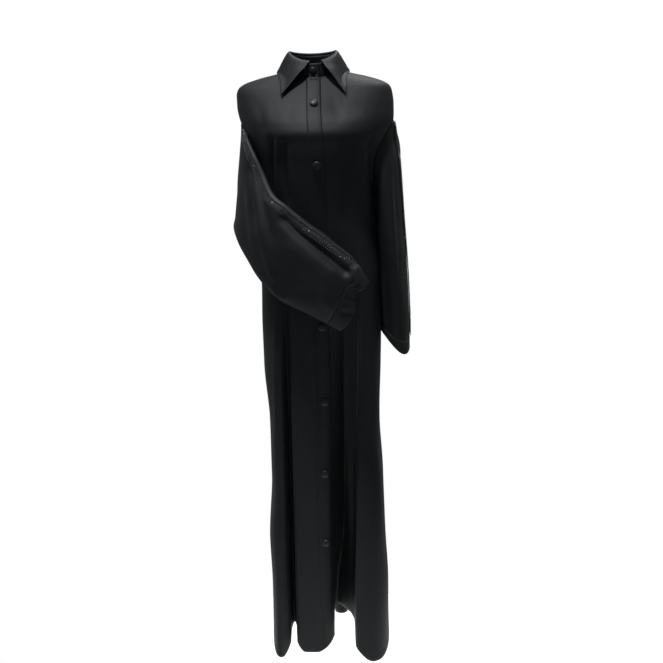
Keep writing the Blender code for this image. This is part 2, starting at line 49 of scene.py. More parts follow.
def hexColour(code):
    # sRGB hex to linear
    out = []
    for i in (1, 3, 5):
        c = int(code[i:i + 2], 16) / 255
        out.append(c / 12.92 if c <= 0.04045 else ((c + 0.055) / 1.055) ** 2.4)
    return (*out, 1.0)


def addNode(tree, kind, settings=None, links=None):
    # settings: attributes or input values; links: input -> output socket, or node for its first
    node = tree.nodes.new(kind)
    for key, value in (settings or {}).items():
        if isinstance(key, str) and hasattr(node, key):
            setattr(node, key, value)
        else:
            node.inputs[key].default_value = value
    for key, source in (links or {}).items():
        tree.links.new(getattr(source, "outputs", (source,))[0], node.inputs[key])
    return node


def newObject(name, data):
    thing = bpy.data.objects.new(name, data)
    bpy.context.scene.collection.objects.link(thing)
    return thing


def smoothMesh(name, build, material):
    bmesh.ops.recalc_face_normals(build, faces=build.faces)
    mesh = bpy.data.meshes.new(name)
    build.to_mesh(mesh)
    build.free()
    mesh.materials.append(material)
    mesh.shade_smooth()
    return mesh


def grownMesh(thing):
    # what an object's modifiers or bevel make of it, kept as a mesh in place of the object
    bpy.context.view_layer.update()
    grown = thing.evaluated_get(bpy.context.evaluated_depsgraph_get())
    mesh = bpy.data.meshes.new_from_object(grown)
    bpy.data.objects.remove(thing)
    return mesh


def unit(ways):
    return ways / np.maximum(np.linalg.norm(ways, axis=-1, keepdims=True), 1e-9)


def smooth(t):
    t = np.clip(t, 0.0, 1.0)
    return t * t * (3 - 2 * t)


def curveThrough(knots):
    # runs through the knots and never swings past them
    at, value = (np.array(v, float) for v in zip(*sorted(knots)))
    slope = np.diff(value) / np.diff(at)
    same = slope[:-1] * slope[1:] > 0
    total = np.where(same, slope[:-1] + slope[1:], 1.0)
    middle = np.where(same, 2 * slope[:-1] * slope[1:] / total, 0.0)
    tangent = np.concatenate(([slope[0]], middle, [slope[-1]]))

    def read(position):
        position = np.clip(position, at[0], at[-1])
        i = np.clip(np.searchsorted(at, position) - 1, 0, len(at) - 2)
        span = at[i + 1] - at[i]
        t = (position - at[i]) / span
        bend = span * (tangent[i] * t * (1 - t) ** 2 - tangent[i + 1] * t * t * (1 - t))
        return value[i] + (value[i + 1] - value[i]) * t * t * (3 - 2 * t) + bend

    return read


# The body tube: the form of the solids, with softer folds and more rows

bodyForm = {
    "cloth": 0.0012, "seamGap": 0.0003, "centreGap": 0.0006, "bandHalf": 0.017,
    "frontNeck": -0.018, "backNeck": -0.006, "neckDip": 1.5,
    "shoulderTip": -0.1213, "underarm": -0.31, "hem": -1.475,
    "armholeFront": 0.078, "armholeBack": 0.070,
    # in millimetres: height, half width right and left, depth in front and behind
    "sections": (
        (0, 58, 58, 22, 40),
        (-3, 68, 68, 30, 53),
        (-9, 86, 86, 41, 66),
        (-18, 125, 125, 56, 77),
        (-31, 165, 165, 70, 88),
        (-41, 178, 180, 80, 94),
        (-55, 183, 185.5, 93, 100),
        (-82, 182.6, 188.5, 118, 109),
        (-105, 179, 188.5, 140, 114),
        (-121, 174.3, 187, 153, 117),
        (-145, 166, 178, 165, 120),
        (-175, 158, 166, 166, 121),
        (-210, 152, 156, 162, 120),
        (-260, 148, 150, 158, 118),
        (-310, 146, 147, 155, 115),
        (-400, 142, 148, 152, 112),
        (-500, 140.5, 150, 150, 113),
        (-600, 142.5, 151, 150, 117),
        (-700, 142.4, 148, 150, 120),
        (-850, 133, 144, 150, 124),
        (-1000, 133, 151, 152, 128),
        (-1170, 144.5, 155, 155, 132),
        (-1300, 143, 160, 158, 136),
        (-1475, 145.5, 160, 160, 140),
    ),
    "squareness": ((0.0, 0.0), (-0.31, 0.0), (-0.50, 0.07), (-1.475, 0.085)),
    "centreDrift": (
        (0.0, 0.0), (-0.08, 0.0), (-0.21, 0.004), (-0.59, 0.005),
        (-0.77, 0.0065), (-0.97, 0.002), (-1.17, 0.0), (-1.475, 0.0),
    ),
    # start, centre at top and hem, half width at top and hem, depth, hem rise, wall share, sheer
    "frontFolds": (
        (-0.36, -0.080, -0.090, 0.018, 0.014, 0.075, 0.045, 0.9, 1),
        (-0.45, -0.030, -0.035, 0.095, 0.105, 0.065, 0.000, 0.5, 0),
        (-0.36, 0.060, 0.043, 0.048, 0.036, 0.150, 0.050, 0.5, 1),
        (-0.45, 0.056, 0.046, 0.090, 0.080, 0.026, 0.000, 1.0, 0),
    ),
    "backFolds": (
        (-0.42, -0.085, -0.094, 0.024, 0.031, 0.034, 0.004, 1.0, 1),
        (-0.52, -0.024, -0.030, 0.024, 0.031, 0.045, 0.004, 1.0, 1),
        (-0.46, 0.030, 0.036, 0.026, 0.033, 0.038, 0.004, 1.0, 1),
        (-0.40, 0.086, 0.100, 0.022, 0.029, 0.032, 0.004, 1.0, 1),
    ),
    "foldRamp": 1.2, "leanEnd": 0.66, "leanPower": 1.6,
    "riseStart": -1.10, "riseSpread": 0.034, "risePower": 1.7,
    "sideRise": 0.018, "sideRiseFrom": 0.80,
    # share of the way down the middle, height at the shoulder seam
    "neckRows": (
        (0.0, 0.0), (0.14, -0.009), (0.28, -0.021), (0.44, -0.033), (0.62, -0.050),
        (0.82, -0.082), (1.0, -0.1213),
    ),
    "shoulderFoot": -0.145,
    "rowsOverShoulder": 34, "rowsAtArmhole": 44, "rowsBelow": 150,
    "columnsInBand": 4, "columnsFront": 92, "columnsBack": 68,
    "rowSamples": 420, "halvings": 24, "probe": 0.002,
}

form = bodyForm
sections = np.array(form["sections"]) / 1000
readSection = [curveThrough(zip(sections[:, 0], sections[:, k])) for k in (1, 2, 3, 4)]
halfWidth = {-1: readSection[0], 1: readSection[1]}
reachOut = {"front": readSection[2], "back": readSection[3]}
squareness = curveThrough(form["squareness"])
centreDrift = curveThrough(form["centreDrift"])
seamHeight = curveThrough(form["neckRows"])
armMiddle = (form["shoulderTip"] + form["underarm"]) / 2
armHalf = (form["shoulderTip"] - form["underarm"]) / 2


def wallDrop(inside, width, drop, sheer, lean):
    # a sheer fold turns over a round corner, falls straight in and turns again;
    # a leaning one grows steeper all the way
    deep = np.clip(inside / width, 0.0, 1.0)
    soft = drop * (smooth(deep) + (deep ** form["leanPower"] - smooth(deep)) * lean)
    corner = width / 2
    share = sheer * smooth((drop - corner) / width)
    near = corner - np.sqrt(np.clip(corner ** 2 - np.clip(inside, 0, corner) ** 2, 0, None))
    far = width - np.clip(inside, corner, width)
    far = drop - corner + np.sqrt(np.clip(corner ** 2 - far ** 2, 0, None))
    turned = np.where(inside < corner, near, far)
    drops = soft + (turned - soft) * share
    return np.where(inside <= 0, 0.0, np.where(inside >= width, drop, drops))


def lowShare(z):
    # how much of the hem's rise and fall reaches this height
    return smooth((form["riseStart"] - z) / (form["riseStart"] - form["hem"]))


def foldAt(row, x, z):
    start, centreTop, centreHem, halfTop, halfHem, depth, rise, wall, sheer = row
    t = np.clip((start - z) / (start - form["hem"]), 0.0, None)
    half = halfTop + (halfHem - halfTop) * t
    centre = centreTop + (centreHem - centreTop) * t
    inside = half - np.abs(x - centre)
    width = half * wall
    spread = np.minimum(form["riseSpread"], half)
    reached = np.clip((inside + spread) / (width + spread), 0.0, 1.0)
    lift = rise * reached ** form["risePower"] * lowShare(z)
    # above the hem one wall of a sheer fold leans, so that it darkens slowly
    upper = 1 - smooth((t - form["leanEnd"]) / (1 - form["leanEnd"]))
    lean = np.where(x < centre, sheer * upper, 0.0)
    width = width + (half - width) * lean
    drop = wallDrop(inside, width, depth * t ** form["foldRamp"], sheer * (1 - lean), lean)
    return np.where(t > 0, drop, 0.0), lift


def bodyPoint(side, half, angle, z):
    wide = halfWidth[side](z)
    deep = reachOut[half](z)
    square = squareness(z)
    x = wide * (np.sin(angle) + square * np.sin(3 * angle)) / (1 - square)
    y = deep * (np.cos(angle) - square * np.cos(3 * angle)) / (1 - square)
    x = side * x
    if half == "front":
        x = x + centreDrift(z) * (1 - (x / wide) ** 2)
    inward = 0.0
    outer = (np.abs(x) / wide - form["sideRiseFrom"]) / (1 - form["sideRiseFrom"])
    lift = form["sideRise"] * np.clip(outer, 0.0, 1.0) ** 2 * lowShare(z)
    for row in form[half + "Folds"]:
        push, rise = foldAt(row, x, z)
        inward = inward + push
        lift = np.maximum(lift, rise)
    y = (y - inward) * (-1 if half == "front" else 1)
    return np.stack(np.broadcast_arrays(x, y, z + lift), axis=-1)


def armholeAngle(half, z):
    turn = (z - armMiddle) / armHalf
    if abs(turn) >= 1:
        return math.pi / 2
    reach = form["armhole" + half.capitalize()] * math.sqrt(1 - turn * turn)
    return math.acos(reach / float(reachOut[half](z)))


def panelRows(half):
    # height at the middle, height at the edge, angle of the edge
    top = form["frontNeck"] if half == "front" else form["backNeck"]
    rows = []
    for i in range(form["rowsOverShoulder"]):
        share = i / form["rowsOverShoulder"]
        middle = top + (form["shoulderTip"] - top) * share
        rows.append((middle, float(seamHeight(share)), math.pi / 2))
    for i in range(form["rowsAtArmhole"]):
        z = armMiddle + armHalf * math.cos(math.pi * i / form["rowsAtArmhole"])
        rows.append((z, z, armholeAngle(half, z)))
    for z in np.linspace(form["underarm"], form["hem"], form["rowsBelow"]):
        rows.append((float(z), float(z), math.pi / 2))
    return rows


def seamRow(side, half, row, places):
    # points along one row of a panel, by their distance along the cloth from the middle
    middle, edge, lastAngle = row
    angle = np.linspace(0.0, lastAngle, form["rowSamples"])
    z = edge + (middle - edge) * np.abs(np.cos(angle)) ** form["neckDip"]
    if middle != edge:
        across = halfWidth[side](edge) * np.sin(angle) / halfWidth[side](z)
        angle = np.arcsin(np.clip(across, 0.0, 1.0))
    line = bodyPoint(side, half, angle, z)
    length = np.concatenate(([0.0], np.cumsum(np.linalg.norm(np.diff(line, axis=0), axis=1))))
    target = places(length[-1])
    points = np.stack([np.interp(target, length, line[:, k]) for k in range(3)], axis=1)
    if lastAngle == math.pi / 2:
        points[-1, 1] = 0.0   # the side and shoulder seams are sewn shut
    return points


def frontPlaces(total):
    near = np.linspace(form["centreGap"] / 2, form["bandHalf"], form["columnsInBand"] + 1)
    far = np.linspace(form["bandHalf"], total, form["columnsFront"] + 1)[1:]
    return np.concatenate((near, far))


def backPlaces(total):
    return np.linspace(0.0, total, form["columnsBack"] + 1)


def sectionReach(x, y, z):
    # how far out the tube reaches at this height, in the direction of the point
    sides = np.where(x < 0, halfWidth[-1](z), halfWidth[1](z))
    deep = np.where(y < 0, reachOut["front"](z), reachOut["back"](z))
    square = squareness(z)
    wanted = np.arctan2(np.abs(x), np.abs(y))
    low = np.zeros_like(wanted)
    high = np.full_like(wanted, math.pi / 2)
    for _ in range(form["halvings"]):
        angle = (low + high) / 2
        across = sides * (np.sin(angle) + square * np.sin(3 * angle))
        out = deep * (np.cos(angle) - square * np.cos(3 * angle))
        less = np.arctan2(across, out) < wanted
        low = np.where(less, angle, low)
        high = np.where(less, high, angle)
    return np.hypot(across, out) / (1 - square)


def clearOfBody(points, gap):
    # moves points that are too near straight out from the middle
    x, y, z = points[..., 0], points[..., 1], points[..., 2]
    away = np.hypot(x, y)
    scale = np.maximum(1.0, (sectionReach(x, y, z) + gap) / np.maximum(away, 1e-6))
    return np.stack((x * scale, y * scale, z), axis=-1)


def shoulderHeight(x, y):
    # the height of the shoulder over a place, found by halving
    low = np.full(np.shape(x), form["shoulderFoot"])
    high = np.zeros(np.shape(x))
    for _ in range(form["halvings"]):
        z = (low + high) / 2
        under = sectionReach(x, y, z) > np.hypot(x, y)
        low = np.where(under, z, low)
        high = np.where(under, high, z)
    return low


# Creases: soft troughs and ridges laid one by one, seen from the side that they face

creaseForm = {"steps": 8, "facing": 0.5}
waveForm = {"count": 9, "upright": 0.45, "shortest": 0.6, "spread": 0.9, "phases": 6.28}


def bendThrough(a, b, c, d, t):
    # the smooth way from b to c, led by the points before and after them
    bend = (2 * a - 5 * b + 4 * c - d) * t * t + (3 * b - a - 3 * c + d) * t ** 3
    return (2 * b + (c - a) * t + bend) / 2


def softPath(p):
    # a rounded line through the points of a crease
    steps = creaseForm["steps"]
    ends = np.vstack((2 * p[0] - p[1], p, 2 * p[-1] - p[-2]))
    out = []
    for i in range(1, len(ends) - 2):
        out += [bendThrough(*ends[i - 1:i + 3], k / steps) for k in range(steps)]
    out.append(p[-1])
    return np.array(out)


def creasePush(points, normals, creases, facing):
    # a crease goes out with a positive depth and in with a negative one
    push = np.zeros(points.shape[:-1])
    turned = smooth((normals @ np.array(facing)) / creaseForm["facing"])
    flat = points[..., (0, 2)]
    for depth, widthLeft, widthRight, fadeStart, fadeEnd, path in creases:
        line = softPath(np.array(path) / 1000)
        step = np.diff(line, axis=0)
        stepLength = np.linalg.norm(step, axis=1)
        before = np.concatenate(([0.0], np.cumsum(stepLength)))
        nearest = np.full(push.shape, 1e9)
        along = np.zeros(push.shape)
        sideOf = np.zeros(push.shape)
        for i in range(len(step)):
            away = flat - line[i]
            t = np.clip((away @ step[i]) / stepLength[i] ** 2, 0.0, 1.0)
            gap = away - t[..., None] * step[i]
            distance = np.linalg.norm(gap, axis=-1)
            closer = distance < nearest
            nearest = np.where(closer, distance, nearest)
            along = np.where(closer, before[i] + t * stepLength[i], along)
            sideOf = np.where(closer, step[i][0] * away[..., 1] - step[i][1] * away[..., 0], sideOf)
        along = along / before[-1]
        width = np.where(sideOf > 0, widthRight / 1000, widthLeft / 1000)
        fade = smooth(along / fadeStart) * smooth((1 - along) / fadeEnd)
        push += depth / 1000 * fade * np.exp(-(nearest / width) ** 2)
    return push * turned


def unevenness(points, size, seed):
    # slow waves of no set direction, so that no stretch of cloth is dead even
    rng = np.random.default_rng(seed)
    out = np.zeros(points.shape[:-1])
    for _ in range(waveForm["count"]):
        way = rng.normal(size=3) * (1.0, 1.0, waveForm["upright"])
        length = size * (waveForm["shortest"] + waveForm["spread"] * rng.random())
        way = way / np.linalg.norm(way) * (2 * math.pi / length)
        out += np.sin(points @ way + rng.random() * waveForm["phases"])
    return out / waveForm["count"]


def gridNormals(grid, closed, centre):
    if closed:
        across = np.roll(grid, -1, axis=1) - np.roll(grid, 1, axis=1)
    else:
        across = np.gradient(grid, axis=1)
    normal = unit(np.cross(across, np.gradient(grid, axis=0)))
    return -normal if (normal * (grid - centre)).sum(axis=-1).mean() < 0 else normal


def roundNormals(grid):
    # the outward ways of a sleeve or cuff
    return gridNormals(grid, True, grid.mean(axis=1, keepdims=True))


def columnAt(grid, at):
    # the line that runs down a grid at a place between two of its columns
    low = int(at)
    t = at - low
    return grid[:, low] * (1 - t) + grid[:, low + 1] * t


def middleLine(grid, y):
    # an upright line inside the body, level with each point of a grid
    return np.stack((grid[..., 0] * 0, grid[..., 1] * 0 + y, grid[..., 2]), axis=-1)


# Making a piece of cloth from a grid of points

def clothPiece(name, grid, closed, node, material, wall):
    # a shell on a grid of points, with the cloth's own lengths as its UV map
    rows, columns = grid.shape[:2]
    across = np.linalg.norm(np.diff(grid, axis=1), axis=-1)
    across = np.concatenate((np.zeros((rows, 1)), np.cumsum(across, axis=1)), axis=1)
    down = np.linalg.norm(np.diff(grid, axis=0), axis=-1)
    down = np.concatenate((np.zeros((1, columns)), np.cumsum(down, axis=0)), axis=0)
    build = bmesh.new()
    points = [[build.verts.new(p) for p in row] for row in grid.tolist()]
    layer = build.loops.layers.uv.new("cloth")
    lastAcross = across[:, -1] + np.linalg.norm(grid[:, 0] - grid[:, -1], axis=-1)
    for r in range(rows - 1):
        for c in range(columns if closed else columns - 1):
            d = (c + 1) % columns
            face = build.faces.new((points[r][c], points[r][d], points[r + 1][d], points[r + 1][c]))
            ends = ((r, c), (r, d), (r + 1, d), (r + 1, c))
            for loop, (i, j) in zip(face.loops, ends):
                u = lastAcross[i] if (closed and d == 0 and j == 0) else across[i, j]
                loop[layer].uv = (u, -down[i, j])
    piece = newObject(name, smoothMesh(name, build, material))
    shell = piece.modifiers.new("wall", "SOLIDIFY")
    shell.thickness = wall
    shell.offset = 0.0
    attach(piece, "root")
    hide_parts(node)


def crepePiece(name, grid, closed, node, wall=form["cloth"]):
    clothPiece(name, grid, closed, node, crepe, wall)


# Materials

def crepeMaterial(name, look):
    # crepe: matt twisted yarn with a soft bloom of light at a glancing angle
    material = bpy.data.materials.new(name)
    material.use_nodes = True
    tree = material.node_tree
    tree.nodes.clear()
    output = addNode(tree, "ShaderNodeOutputMaterial")
    shader = addNode(tree, "ShaderNodeBsdfPrincipled", {
        "Sheen Weight": look["sheen"],
        "Sheen Roughness": look["sheenRough"],
        "Sheen Tint": hexColour(look["sheenTint"]),
        "Specular IOR Level": look["specular"],
    })
    tree.links.new(shader.outputs["BSDF"], output.inputs["Surface"])
    place = addNode(tree, "ShaderNodeTexCoord")
    uv = place.outputs["UV"]
    noise = "ShaderNodeTexNoise"
    spread = {"Scale": look["cloudScale"], "Detail": 3.0}
    cloud = addNode(tree, noise, spread, {"Vector": place.outputs["Object"]})
    tone = addNode(tree, "ShaderNodeMix", {"data_type": "RGBA"}, {0: cloud.outputs["Fac"]})
    tone.inputs[6].default_value = hexColour(look["dark"])
    tone.inputs[7].default_value = hexColour(look["light"])
    tree.links.new(tone.outputs[2], shader.inputs["Base Color"])
    ends = {"To Min": look["rough"][0], "To Max": look["rough"][1]}
    rough = addNode(tree, "ShaderNodeMapRange", ends, {"Value": cloud.outputs["Fac"]})
    tree.links.new(rough.outputs["Result"], shader.inputs["Roughness"])
    # warp and weft, the crepe's pebbled grain, then slow ripples
    weave = addNode(tree, "ShaderNodeMath", {"operation": "MULTIPLY"})
    for k, way in enumerate("XY"):
        yarns = {"bands_direction": way, "Scale": look["yarns"], "Distortion": 1.2, "Detail": 1.0}
        yarn = addNode(tree, "ShaderNodeTexWave", {"wave_type": "BANDS", **yarns}, {"Vector": uv})
        tree.links.new(yarn.outputs["Fac"], weave.inputs[k])
    pebble = addNode(tree, noise, {"Scale": look["pebble"], "Detail": 4.0}, {"Vector": uv})
    slow = {"Scale": look["ripple"], "Detail": 2.0, "Distortion": 0.4}
    ripple = addNode(tree, noise, slow, {"Vector": uv})
    below = {}
    for height, strength, deep in (
        (weave.outputs["Value"], 0.35, "weaveDeep"),
        (pebble.outputs["Fac"], 0.5, "pebbleDeep"),
        (ripple.outputs["Fac"], 0.6, "rippleDeep"),
    ):
        settings = {"Strength": strength, "Distance": look[deep]}
        wave = addNode(tree, "ShaderNodeBump", settings, {"Height": height, **below})
        below = {"Normal": wave.outputs["Normal"]}
    tree.links.new(wave.outputs["Normal"], shader.inputs["Normal"])
    return material


crepeLook = {
    "dark": "#11161a", "light": "#181d21", "cloudScale": 7.0, "rough": (0.54, 0.62),
    "sheen": 0.04, "sheenRough": 0.45, "sheenTint": "#b9c4ca", "specular": 0.28,
    "yarns": 260.0, "weaveDeep": 0.0003, "pebble": 700.0, "pebbleDeep": 0.0003,
    "ripple": 26.0, "rippleDeep": 0.0012,
}
# the trim's satin: a smoother face, with base colours lighter than the crepe's as painted highlight
# for the band lit from above
paintedHighlightSatinLook = dict(
    crepeLook, dark="#171c20", light="#1f252a", rough=(0.42, 0.50), sheen=0.04,
    specular=0.34, yarns=420.0, rippleDeep=0.0006,
)
buttonLook = dict(
    crepeLook, dark="#191e22", light="#20262a", rough=(0.40, 0.48), specular=0.34,
    yarns=420.0, rippleDeep=0.0002,
)

crepe = crepeMaterial("blackCrepeWoven", crepeLook)
satinPaintedHighlight = crepeMaterial("blackSatinPaintedHighlight", paintedHighlightSatinLook)   # long floats: a smoother face; its lighter base colour is painted highlight for the trim band's lit upper face
buttonCloth = crepeMaterial("satinCoveredButton", buttonLook)


def plainMaterial(name, colour, rough, coat=0.0):
    material = bpy.data.materials.new(name)
    material.use_nodes = True
    shader = material.node_tree.nodes["Principled BSDF"]
    shader.inputs["Base Color"].default_value = hexColour(colour)
    shader.inputs["Roughness"].default_value = rough
    shader.inputs["Coat Weight"].default_value = coat
    return material


# twisted filament, a little shine
thread = plainMaterial("polyesterThread", "#191d20", 0.50)
# pressed dark glass with a coat for real glints; its mid-grey base colour is painted glint, far
# lighter than jet
jetPaintedGlint = plainMaterial("paintedGlintJetBead", "#4c555b", 0.16, coat=0.8)
# painted glints: pale grey beads that stand for bright points of light on faceted glass
paintedGlintSequin = plainMaterial("cutGlassPaintedGlint", "#9aa4ab", 0.10, coat=0.6)
# satin on the bias, lighter than the crepe
cordSatin = plainMaterial("satinRouleauCord", "#3a4044", 0.40)
print("materials made")

# Fronts and back

# in millimetres: depth, width left and right of the path, then the share that fades at its
# start and end, then its path in x and z
bodyCreases = {
    "front": (
        (2.6, 14, 40, 0.1, 0.1, ((-124, -136), (-66, -140), (4, -141), (69, -143), (136, -140))),
        (-7.5, 6, 5, 0.12, 0.3, ((-96, -138), (-99, -190), (-100, -231), (-98, -322))),
        (4, 5, 5, 0.12, 0.3, ((-87, -142), (-89, -190), (-90, -231), (-91, -322))),
        (-8, 8, 12, 0.15, 0.35, ((-74, -142), (-72, -220), (-64, -300), (-58, -350))),
        (-2.6, 12, 12, 0.4, 0.4, ((-128, -60), (-122, -107), (-119, -172))),
        (6, 10, 10, 0.15, 0.3, ((103, -140), (108, -210), (118, -311), (134, -400))),
        (-6, 14, 16, 0.15, 0.35, ((80, -142), (70, -240), (65, -326), (80, -430))),
        (-6, 6, 8, 0.15, 0.3, ((128, -142), (129, -225), (131, -300))),
        (-1.8, 20, 18, 0.4, 0.4, ((30, -190), (26, -280), (34, -380))),
        (2.6, 5, 6, 0.15, 0.4, ((-100, -515), (-107, -640), (-114, -800), (-121, -1060))),
        (-2.6, 10, 10, 0.2, 0.4, ((-124, -540), (-126, -760), (-130, -1000))),
        (2, 12, 16, 0.3, 0.3, ((-40, -640), (-43, -900), (-46, -1150))),
        (-2.4, 12, 12, 0.3, 0.3, ((112, -500), (112, -800), (116, -1100))),
        (2.4, 12, 12, 0.3, 0.3, ((134, -600), (137, -900), (142, -1250))),
        (-1.4, 14, 12, 0.4, 0.4, ((40, -50), (50, -85), (64, -128))),
        (-1.4, 12, 14, 0.4, 0.4, ((-44, -52), (-52, -88), (-62, -126))),
    ),
    "back": (
        (-5.5, 14, 10, 0.3, 0.45, ((118, -150), (104, -250), (96, -380), (92, -520))),
        (-5, 10, 14, 0.3, 0.45, ((-120, -160), (-102, -270), (-90, -400), (-86, -540))),
        (4, 14, 14, 0.3, 0.4, ((70, -140), (62, -280), (58, -460), (60, -640))),
        (3.4, 14, 14, 0.35, 0.4, ((-58, -170), (-56, -320), (-54, -500))),
        (-4, 16, 14, 0.35, 0.4, ((12, -220), (6, -360), (4, -520), (6, -680))),
        (-2.2, 12, 12, 0.4, 0.4, ((100, -60), (62, -80), (20, -86))),
        (-2.2, 12, 12, 0.4, 0.4, ((-106, -66), (-64, -88), (-24, -96))),
        (2, 10, 12, 0.3, 0.3, ((128, -520), (132, -800), (140, -1150))),
        (2, 12, 10, 0.3, 0.3, ((-122, -560), (-126, -820), (-132, -1120))),
    ),
}


bodyWaves = {"deep": 0.0016, "size": 0.16, "seed": 5, "from": -0.02, "over": 0.05, "middle": 0.01}
fadeForm = {"columns": 7, "rows": 8}


def creased(grid, half, edgeFade):
    # lays the creases on a panel and lets them die away at its seams
    normal = gridNormals(grid, False, middleLine(grid, bodyWaves["middle"]))
    facing = (0.0, -1.0, 0.0) if half == "front" else (0.0, 1.0, 0.0)
    push = creasePush(grid, normal, bodyCreases[half], facing)
    below = smooth((bodyWaves["from"] - grid[..., 2]) / bodyWaves["over"])
    push = push + bodyWaves["deep"] * unevenness(grid, bodyWaves["size"], bodyWaves["seed"]) * below
    return grid + normal * (push * edgeFade)[..., None], normal


def seamFade(rows, columns, firstToo):
    # nothing at a seam or at the top, everything a few columns and rows in
    c = np.arange(columns)
    reach = fadeForm["columns"]
    fade = smooth((columns - 1 - c) / reach)
    if firstToo:
        fade = fade * smooth(c / reach)
    return fade[None, :] * smooth(np.arange(rows) / fadeForm["rows"])[:, None]


fronts = {}
frontNormals = {}
for side in (-1, 1):
    grid = np.stack([seamRow(side, "front", row, frontPlaces) for row in panelRows("front")])
    fronts[side], frontNormals[side] = creased(grid, "front", seamFade(*grid.shape[:2], False))
backRows = []
for row in panelRows("back"):
    right = seamRow(-1, "back", row, backPlaces)
    left = seamRow(1, "back", row, backPlaces)
    backRows.append(np.concatenate((right[:0:-1], left)))
back = np.stack(backRows)
back, backNormals = creased(back, "back", seamFade(*back.shape[:2], True))

crepePiece("frontRightCloth", fronts[-1], False, "front_right")
crepePiece("frontLeftCloth", fronts[1], False, "front_left")
crepePiece("backCloth", back, False, "back")
print("fronts and back made")

# Placket band

placketBand = {
    "step": 0.0018, "edgeStep": 0.0007, "flat": 0.4, "stitchIn": 0.0030, "middle": 0.062,
    "cut": {"size": (0.036, 1.501, 0.050), "held": "laid", "on": ["front_right", "front_left"]},
}


def bandGrid():
    count = form["columnsInBand"]
    right = fronts[-1][:, 1:count + 1][:, ::-1]
    left = fronts[1][:, 1:count + 1]
    middle = (fronts[-1][:, :1] + fronts[1][:, :1]) / 2
    rows = np.concatenate((right, middle, left), axis=1)
    normal = gridNormals(rows, False, middleLine(rows, placketBand["middle"]))
    out = np.abs(np.linspace(-1.0, 1.0, rows.shape[1]))
    edge = smooth((out - placketBand["flat"]) / (1 - placketBand["flat"]))
    step = placketBand["step"] + (placketBand["edgeStep"] - placketBand["step"]) * edge
    return rows + normal * step[None, :, None], normal


band, bandNormals = bandGrid()
crepePiece("placketCloth", band, False, "placket")
print("placket made")

# Collar stand and leaf

collarForm = {
    "halfWidth": 0.058, "front": 0.056, "back": 0.062, "inset": 0.0013, "lift": 0.0008,
    "standFront": 0.031, "standBack": 0.037, "lean": 0.003, "riseEnd": 1.2,
    "start": -9.0, "end": 375.0, "tuck": 0.0018, "tuckFade": 0.6, "clear": 0.0026,
    "leafWall": 0.0014, "bow": 0.0035, "layFrom": 0.36, "layOver": 0.2,
    # angle round the neck, x, y, z of the leaf's outer edge
    "leafEdge": (
        (8.0, 0.0755, -0.0890, -0.0570), (32.0, 0.0770, -0.0620, -0.0420),
        (62.0, 0.0815, -0.0310, -0.0235), (90.0, 0.0865, 0.0020, -0.0060),
        (120.0, 0.0800, 0.0430, 0.0000), (150.0, 0.0510, 0.0780, 0.0020),
        (180.0, 0.0000, 0.0920, 0.0030),
    ),
    "leafLeftStart": 20.0, "steps": 150, "standRows": 9, "fallFirst": 0.12, "fallRows": 20,
    "standCut": {
        "size": (0.387, 0.037, 0.0129), "held": "folded",
        "on": ["back", "front_right", "front_left"],
    },
    "leafCut": {"size": (0.510, 0.116, 0.0261), "held": "folded", "on": ["collar_stand"]},
    "rise": ((0.0, 0.0009), (0.0004, 0.0034), (0.0012, 0.0056)),
    "turn": (0.0050, 0.0040, 0.05), "fallStart": 0.007, "proud": (0.0, -0.0065, 0.0012),
    "proudShare": 0.11, "proudOver": 0.35, "normalsFrom": (0.0, 0.0, -0.03),
}


def neckPoint(turn):
    forward = np.cos(turn)
    drop = np.where(forward > 0, form["frontNeck"], form["backNeck"])
    reach = np.where(forward > 0, collarForm["front"], collarForm["back"])
    z = drop * np.abs(forward) ** form["neckDip"]
    return np.stack((collarForm["halfWidth"] * np.sin(turn), -reach * forward, z), axis=-1)


def standPoint(turn, share, tuck):
    base = neckPoint(turn)
    inward = unit(-base * (1.0, 1.0, 0.0))
    rise = smooth((1 - np.cos(turn)) / collarForm["riseEnd"])
    height = collarForm["standFront"] + (collarForm["standBack"] - collarForm["standFront"]) * rise
    out = base + inward * (collarForm["inset"] + tuck + collarForm["lean"] * share)[..., None]
    out[..., 2] += collarForm["lift"] + height * share
    return out


def collarStand():
    start, end = math.radians(collarForm["start"]), math.radians(collarForm["end"])
    turn = np.linspace(start, end, collarForm["steps"])
    overlap = end - math.tau - start
    tuck = collarForm["tuck"] * (1 - smooth((turn - start - overlap) / collarForm["tuckFade"]))
    shares = np.linspace(0, 1, collarForm["standRows"])
    return np.stack([standPoint(turn, np.full_like(turn, share), tuck) for share in shares])


